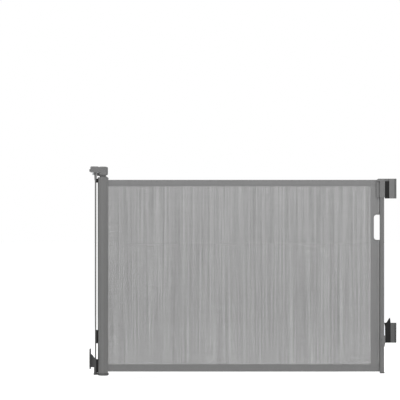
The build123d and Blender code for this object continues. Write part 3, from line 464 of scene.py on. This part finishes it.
def strip_section(width, half, seams):
    """(distance across, half thickness) at each point across a sewn strip with rounded edges.
    seams are distances at which stitching pulls the strip thinner."""
    edge = [half * (1 - cos(radians(a))) for a in (0, 25, 50, 75)]
    inner = sorted({d + e for d in seams for e in (-1.1 * MM, 0, 1.1 * MM)} | {width / 2})
    across = edge + inner + [width - d for d in reversed(edge)]
    section = []
    for d in across:
        near = min(d, width - d, half)
        rounded = half * sqrt(max(0.0, 1 - (1 - near / half) ** 2))
        pull = sum(0.28 * half * (abs(d - s) < 0.5 * MM) for s in seams)
        section.append((d, rounded - pull))
    return section


def stitches(name, rows):
    """One small stitch at each place of each row. A row is (places, direction along, side)."""
    points, faces = [], []
    length, width, rise = 2.9 * MM, 0.32 * MM, 0.30 * MM
    for places, along, side in rows:
        along = Vector(along)
        out = Vector((0, side, 0))
        across = along.cross(out)
        for place in places:
            start = len(points)
            place = Vector(place)
            points.append(place - along * length / 2 - out * rise)
            for share in (-0.32, 0.32):
                centre = place + along * length * share
                for angle in (0, 90, 180, 270):
                    turn = radians(angle)
                    points.append(centre + across * width * cos(turn) + out * rise * sin(turn))
            points.append(place + along * length / 2 - out * rise)
            for k in range(4):
                a, b = start + 1 + k, start + 1 + (k + 1) % 4
                faces.append((start, b, a))
                faces.append((a, b, b + 4, a + 4))
                faces.append((start + 9, a + 4, b + 4))
    return make_piece(name, points, faces, THREAD, "hem_fabric")


def wind_in(piece):
    """Rides the carriage, on a mesh of its own."""
    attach(piece, "carriage")
    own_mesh(piece)


def shear_with_bar(piece):
    """Bakes the piece's placement into its mesh points."""
    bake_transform(piece)


# ---------------------------------------------------------------- mesh and hems

STITCH_PITCH = 4 * MM
STITCH_INSET = 3.2 * MM
TUCK = 5 * MM


def ripple(x, z):
    """How far the stretched mesh stands out of its plane, at most about half a millimetre."""
    low = 0.28 * sin(2 * pi * x / 0.41 + 3.1 * z) * sin(pi * z / 0.84)
    fine = 0.12 * sin(2 * pi * x / 0.13 + 7.0 * z + 0.8)
    return (low + fine) * MM


def make_mesh_panel():
    """The mesh between its hems, tucked a little way into each."""
    low, high = bottom_hem_high.z - TUCK, top_hem_low.z + TUCK
    columns = np.linspace(mesh_low.x, band_low.x + 2 * MM, 161)
    rows = np.linspace(low, high, 99)
    points = [(x, mesh_y + ripple(x, z), z) for z in rows for x in columns]
    wide = len(columns)
    faces = [
        (r * wide + c, r * wide + c + 1, (r + 1) * wide + c + 1, (r + 1) * wide + c)
        for r in range(len(rows) - 1)
        for c in range(wide - 1)
    ]
    return make_piece("mesh_cloth", points, faces, MESH, "mesh_fabric")


def make_hem(name, low, high, left, right, half):
    """A folded tape sewn over the mesh's edge, with two rows of stitching."""
    height = high - low
    seams = (STITCH_INSET, height - STITCH_INSET)
    section = strip_section(height, half, seams)
    rings = []
    for x in np.arange(left, right, STITCH_PITCH / 2).tolist() + [right]:
        puff = 1 + 0.10 * sin(2 * pi * x / STITCH_PITCH)
        front = [(x, mesh_y - t * puff, low + d) for d, t in section]
        back = [(x, mesh_y + t * puff, low + d) for d, t in section[::-1][1:-1]]
        rings.append(front + back)
    return make_piece(name, *loft(rings), HEM, "hem_fabric")


def make_hem_stitches(name, low, high, left, right, half):
    """Two rows of stitches on each face of a hem."""
    rows = []
    for z in (low + STITCH_INSET, high - STITCH_INSET):
        for side in (-1, 1):
            places = [(x, mesh_y + side * half * 0.92, z) for x in np.arange(left, right, STITCH_PITCH)]
            rows.append((places, (1, 0, 0), side))
    return stitches(name, rows)


def make_wound_turns():
    """The turn of mesh that stays on the roller when the gate is drawn out."""
    turns = 1.25
    inner, outer = 9.35 * MM, 9.9 * MM
    steps = 90
    points = []
    for k in range(steps + 1):
        share = k / steps
        angle = -pi / 2 - 2 * pi * turns * (1 - share)
        radius = inner + (outer - inner) * share
        for z in (roll_low.z, roll_high.z):
            points.append((roller_x + radius * cos(angle), roller_y + radius * sin(angle), z))
    faces = [(2 * k, 2 * k + 2, 2 * k + 3, 2 * k + 1) for k in range(steps)]
    roll = make_piece("wound_mesh", points, faces, MESH, "mesh_fabric")
    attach(roll, "roller")
    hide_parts("mesh_roll")


def make_mesh_and_hems():
    """The mesh, its hems and their stitching, riding the carriage."""
    cloth = make_mesh_panel()
    half = (top_hem_high.y - top_hem_low.y) / 2
    left, right = top_hem_low.x, band_low.x + 1.5 * MM
    extras = []
    hems = {"top_hem": (top_hem_low.z, top_hem_high.z), "bottom_hem": (bottom_hem_low.z, bottom_hem_high.z)}
    for name, (low, high) in hems.items():
        tape = make_hem(f"{name}_tape", low, high, left, right, half)
        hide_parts(name)
        rows = make_hem_stitches(f"{name}_stitches", low, high, left + 3 * MM, right - 4 * MM, half)
        extras += [tape, rows]
    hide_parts("mesh_panel")
    for piece in [cloth, *extras]:
        wind_in(piece)


# ---------------------------------------------------------------- end band

HOLE_LOW, HOLE_HIGH = 0.594, 0.705
HOLE_WIDTH = 26 * MM
HOLE_CORNER = 13 * MM
WELT_WIDTH = 7.5 * MM
WELT_HALF = 1.35 * MM
BINDING_WIDTH = 4.2 * MM
BINDING_HALF = 1.15 * MM
BINDING_OVERLAP = 0.4 * MM


def hole_edge(z):
    """How far the hand hole reaches from the bar at this height."""
    depth = min(z - HOLE_LOW, HOLE_HIGH - z)
    if depth >= HOLE_CORNER:
        return HOLE_WIDTH
    return HOLE_WIDTH - HOLE_CORNER + sqrt(max(0.0, HOLE_CORNER**2 - (HOLE_CORNER - depth) ** 2))


def band_rows():
    """(height, right edge) of the end band at each row, closer together round the hand hole."""
    right = band_high.x
    below = np.linspace(band_low.z, HOLE_LOW - 0.05 * MM, 90)
    above = np.linspace(HOLE_HIGH + 0.05 * MM, band_high.z, 24)
    corner = [HOLE_CORNER * (1 - cos(radians(a))) for a in range(0, 91, 10)]
    rows = [(z, right) for z in below]
    rows += [(HOLE_LOW + d, right - hole_edge(HOLE_LOW + d)) for d in corner]
    straight = np.linspace(HOLE_LOW + HOLE_CORNER, HOLE_HIGH - HOLE_CORNER, 14)[1:-1]
    rows += [(z, right - HOLE_WIDTH) for z in straight]
    rows += [(HOLE_HIGH - d, right - hole_edge(HOLE_HIGH - d)) for d in reversed(corner)]
    return rows + [(z, right) for z in above]


def make_end_band():
    """The doubled cloth at the free end, cut away for the hand beside the bar."""
    half = 0.75 * MM
    rings = []
    for z, right in band_rows():
        width = right - band_low.x
        section = strip_section(width, half, (STITCH_INSET,))
        front = [(band_low.x + d, mesh_y - t, z) for d, t in section]
        back = [(band_low.x + d, mesh_y + t, z) for d, t in section[::-1][1:-1]]
        rings.append(front + back)
    band = make_piece("end_band_cloth", *loft(rings), BAND, "hem_fabric")
    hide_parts("end_band")
    return band


def hole_path():
    """Points round the hand hole's edge, from the bar below it to the bar above it."""
    right = band_high.x
    centre_x = right - HOLE_WIDTH + HOLE_CORNER
    path = [(right - 1 * MM, HOLE_LOW)]
    path += [
        (centre_x - HOLE_CORNER * sin(radians(a)), HOLE_LOW + HOLE_CORNER * (1 - cos(radians(a))))
        for a in range(0, 91, 10)
    ]
    straight = np.linspace(HOLE_LOW + HOLE_CORNER, HOLE_HIGH - HOLE_CORNER, 12)[1:-1]
    path += [(right - HOLE_WIDTH, z) for z in straight]
    path += [
        (centre_x - HOLE_CORNER * cos(radians(a)), HOLE_HIGH - HOLE_CORNER * (1 - sin(radians(a))))
        for a in range(0, 91, 10)
    ]
    return path + [(right - 1 * MM, HOLE_HIGH)]


def make_hole_binding():
    """A folded tape round the hand hole's edge."""
    path = hole_path()
    rings = []
    for k, (x, z) in enumerate(path):
        before, after = path[max(k - 1, 0)], path[min(k + 1, len(path) - 1)]
        along = Vector((after[0] - before[0], after[1] - before[1])).normalized()
        out = Vector((-along.y, along.x))
        ring = []
        for angle in range(0, 360, 30):
            across = BINDING_WIDTH / 2 * (1 - cos(radians(angle))) - BINDING_OVERLAP
            place = Vector((x, z)) + out * across
            ring.append((place.x, mesh_y + BINDING_HALF * sin(radians(angle)), place.y))
        rings.append(ring)
    return make_piece("hand_hole_binding", *loft(rings), EDGE, "hem_fabric")


def make_welt(name, low, high):
    """The rounded fold of cloth that goes into the bar's groove, standing a little proud."""
    rings = []
    for z in np.linspace(low, high, max(2, int((high - low) / (12 * MM)))):
        section = strip_section(WELT_WIDTH, WELT_HALF, ())
        left = band_high.x - WELT_WIDTH + 0.2 * MM
        front = [(left + d, mesh_y - t, z) for d, t in section]
        back = [(left + d, mesh_y + t, z) for d, t in section[::-1][1:-1]]
        rings.append(front + back)
    return make_piece(name, *loft(rings), WELT, "hem_fabric")


def make_band():
    """The end band with its binding, hem ends, welt and stitching."""
    band = make_end_band()
    extras = [make_hole_binding()]
    left, right = band_low.x - 0.5 * MM, band_high.x
    for name, low, high in (
        ("band_bottom_hem", band_low.z, band_low.z + bottom_hem_high.z - bottom_hem_low.z),
        ("band_top_hem", band_high.z - (top_hem_high.z - top_hem_low.z), band_high.z),
    ):
        piece = make_hem(name, low, high, left, right, 1.05 * MM)
        extras.append(piece)
    for name, low, high in (
        ("welt_low", bottom_hem_high.z - 1 * MM, HOLE_LOW - 2 * MM),
        ("welt_high", HOLE_HIGH + 2 * MM, top_hem_low.z + 1 * MM),
    ):
        extras.append(make_welt(name, low, high))
    rows = []
    for side in (-1, 1):
        heights = np.arange(bottom_hem_high.z + 3 * MM, top_hem_low.z - 3 * MM, STITCH_PITCH)
        x = band_low.x + STITCH_INSET
        rows.append(([(x, mesh_y + side * 0.66 * MM, z) for z in heights], (0, 0, 1), side))
    extras.append(stitches("end_band_stitches", rows))
    for piece in [band, *extras]:
        shear_with_bar(piece)


# ---------------------------------------------------------------- button spring


def make_button_spring():
    """The coil behind the release button, riding the housing."""
    low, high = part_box("button_spring")
    wire = 0.4 * MM
    radius = (high.x - low.x) / 2 - wire
    centre_x, centre_z = (low.x + high.x) / 2, (low.z + high.z) / 2
    length = high.y - low.y - 2 * wire
    steps = 60
    rings = []
    for k in range(steps + 1):
        share = k / steps
        angle = 2 * pi * 2.5 * share
        y = high.y - wire - length * share
        ring = []
        for turn in range(0, 360, 45):
            reach = radius + wire * cos(radians(turn))
            rise = wire * sin(radians(turn))
            ring.append((centre_x + reach * cos(angle), y + rise, centre_z + reach * sin(angle)))
        rings.append(ring)
    spring = make_piece("button_coil", *loft(rings), STEEL, "steel")
    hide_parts("button_spring")
    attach(spring, "housing")
    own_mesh(spring)


make_camera()
make_light()
make_floor()
finish_cad_nodes()
make_mesh_and_hems()
make_wound_turns()
make_band()
make_button_spring()
